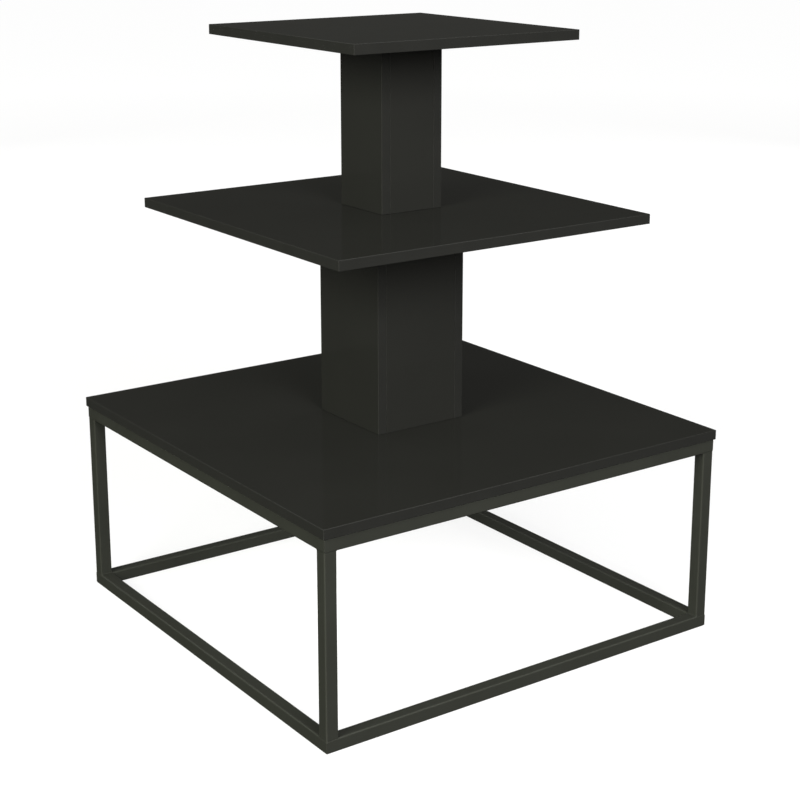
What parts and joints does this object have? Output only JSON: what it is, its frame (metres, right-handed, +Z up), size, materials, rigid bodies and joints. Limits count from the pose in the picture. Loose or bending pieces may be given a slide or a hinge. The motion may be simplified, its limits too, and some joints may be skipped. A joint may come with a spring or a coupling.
{
  "type": "display plinth",
  "caption": "Tiered black display plinth: square shelves of falling size on boxed columns, over an open square-tube steel base frame.",
  "frame": {"origin": "on the floor at the centre of the plinth's square footprint", "axes": "+Z up along the columns, +X to the right seen from the front, the front faces -Y; the plinth looks the same from opposite sides"},
  "size_m": [0.9, 0.9, 1.169],
  "materials": {
    "frame_steel": "dark olive-grey powder coat, satin, fine texture",
    "black_board": "black laminate on fibreboard, semi-gloss, with edge banding",
    "cleat_pine": "bare planed pine",
    "screw_steel": "bright zinc plate"
  },
  "bodies": {
    "root": {"bottom_rail_front": "frame_steel", "bottom_rail_right": "frame_steel", "bottom_rail_back": "frame_steel", "bottom_rail_left": "frame_steel", "top_rail_front": "frame_steel", "top_rail_right": "frame_steel", "top_rail_back": "frame_steel", "top_rail_left": "frame_steel", "leg_front_left": "frame_steel", "leg_front_right": "frame_steel", "leg_back_right": "frame_steel", "leg_back_left": "frame_steel", "rail_screw_front_1": "screw_steel", "rail_screw_front_2": "screw_steel", "rail_screw_right_1": "screw_steel", "rail_screw_right_2": "screw_steel", "rail_screw_back_1": "screw_steel", "rail_screw_back_2": "screw_steel", "rail_screw_left_1": "screw_steel", "rail_screw_left_2": "screw_steel", "base_board": "black_board", "middle_shelf": "black_board", "top_shelf": "black_board", "lower_column_left": "black_board", "lower_column_right": "black_board", "lower_column_front": "black_board", "lower_column_back": "black_board", "lower_column_foot_cleat_left": "cleat_pine", "lower_column_foot_screw_left_front": "screw_steel", "lower_column_foot_screw_left_back": "screw_steel", "lower_column_foot_cleat_right": "cleat_pine", "lower_column_foot_screw_right_front": "screw_steel", "lower_column_foot_screw_right_back": "screw_steel", "lower_column_head_cleat_left": "cleat_pine", "lower_column_head_screw_left_front": "screw_steel", "lower_column_head_screw_left_back": "screw_steel", "lower_column_head_cleat_right": "cleat_pine", "lower_column_head_screw_right_front": "screw_steel", "lower_column_head_screw_right_back": "screw_steel", "upper_column_left": "black_board", "upper_column_right": "black_board", "upper_column_front": "black_board", "upper_column_back": "black_board", "upper_column_foot_cleat_left": "cleat_pine", "upper_column_foot_screw_left_front": "screw_steel", "upper_column_foot_screw_left_back": "screw_steel", "upper_column_foot_cleat_right": "cleat_pine", "upper_column_foot_screw_right_front": "screw_steel", "upper_column_foot_screw_right_back": "screw_steel", "upper_column_head_cleat_left": "cleat_pine", "upper_column_head_screw_left_front": "screw_steel", "upper_column_head_screw_left_back": "screw_steel", "upper_column_head_cleat_right": "cleat_pine", "upper_column_head_screw_right_front": "screw_steel", "upper_column_head_screw_right_back": "screw_steel"}
  },
  "joints": []
}
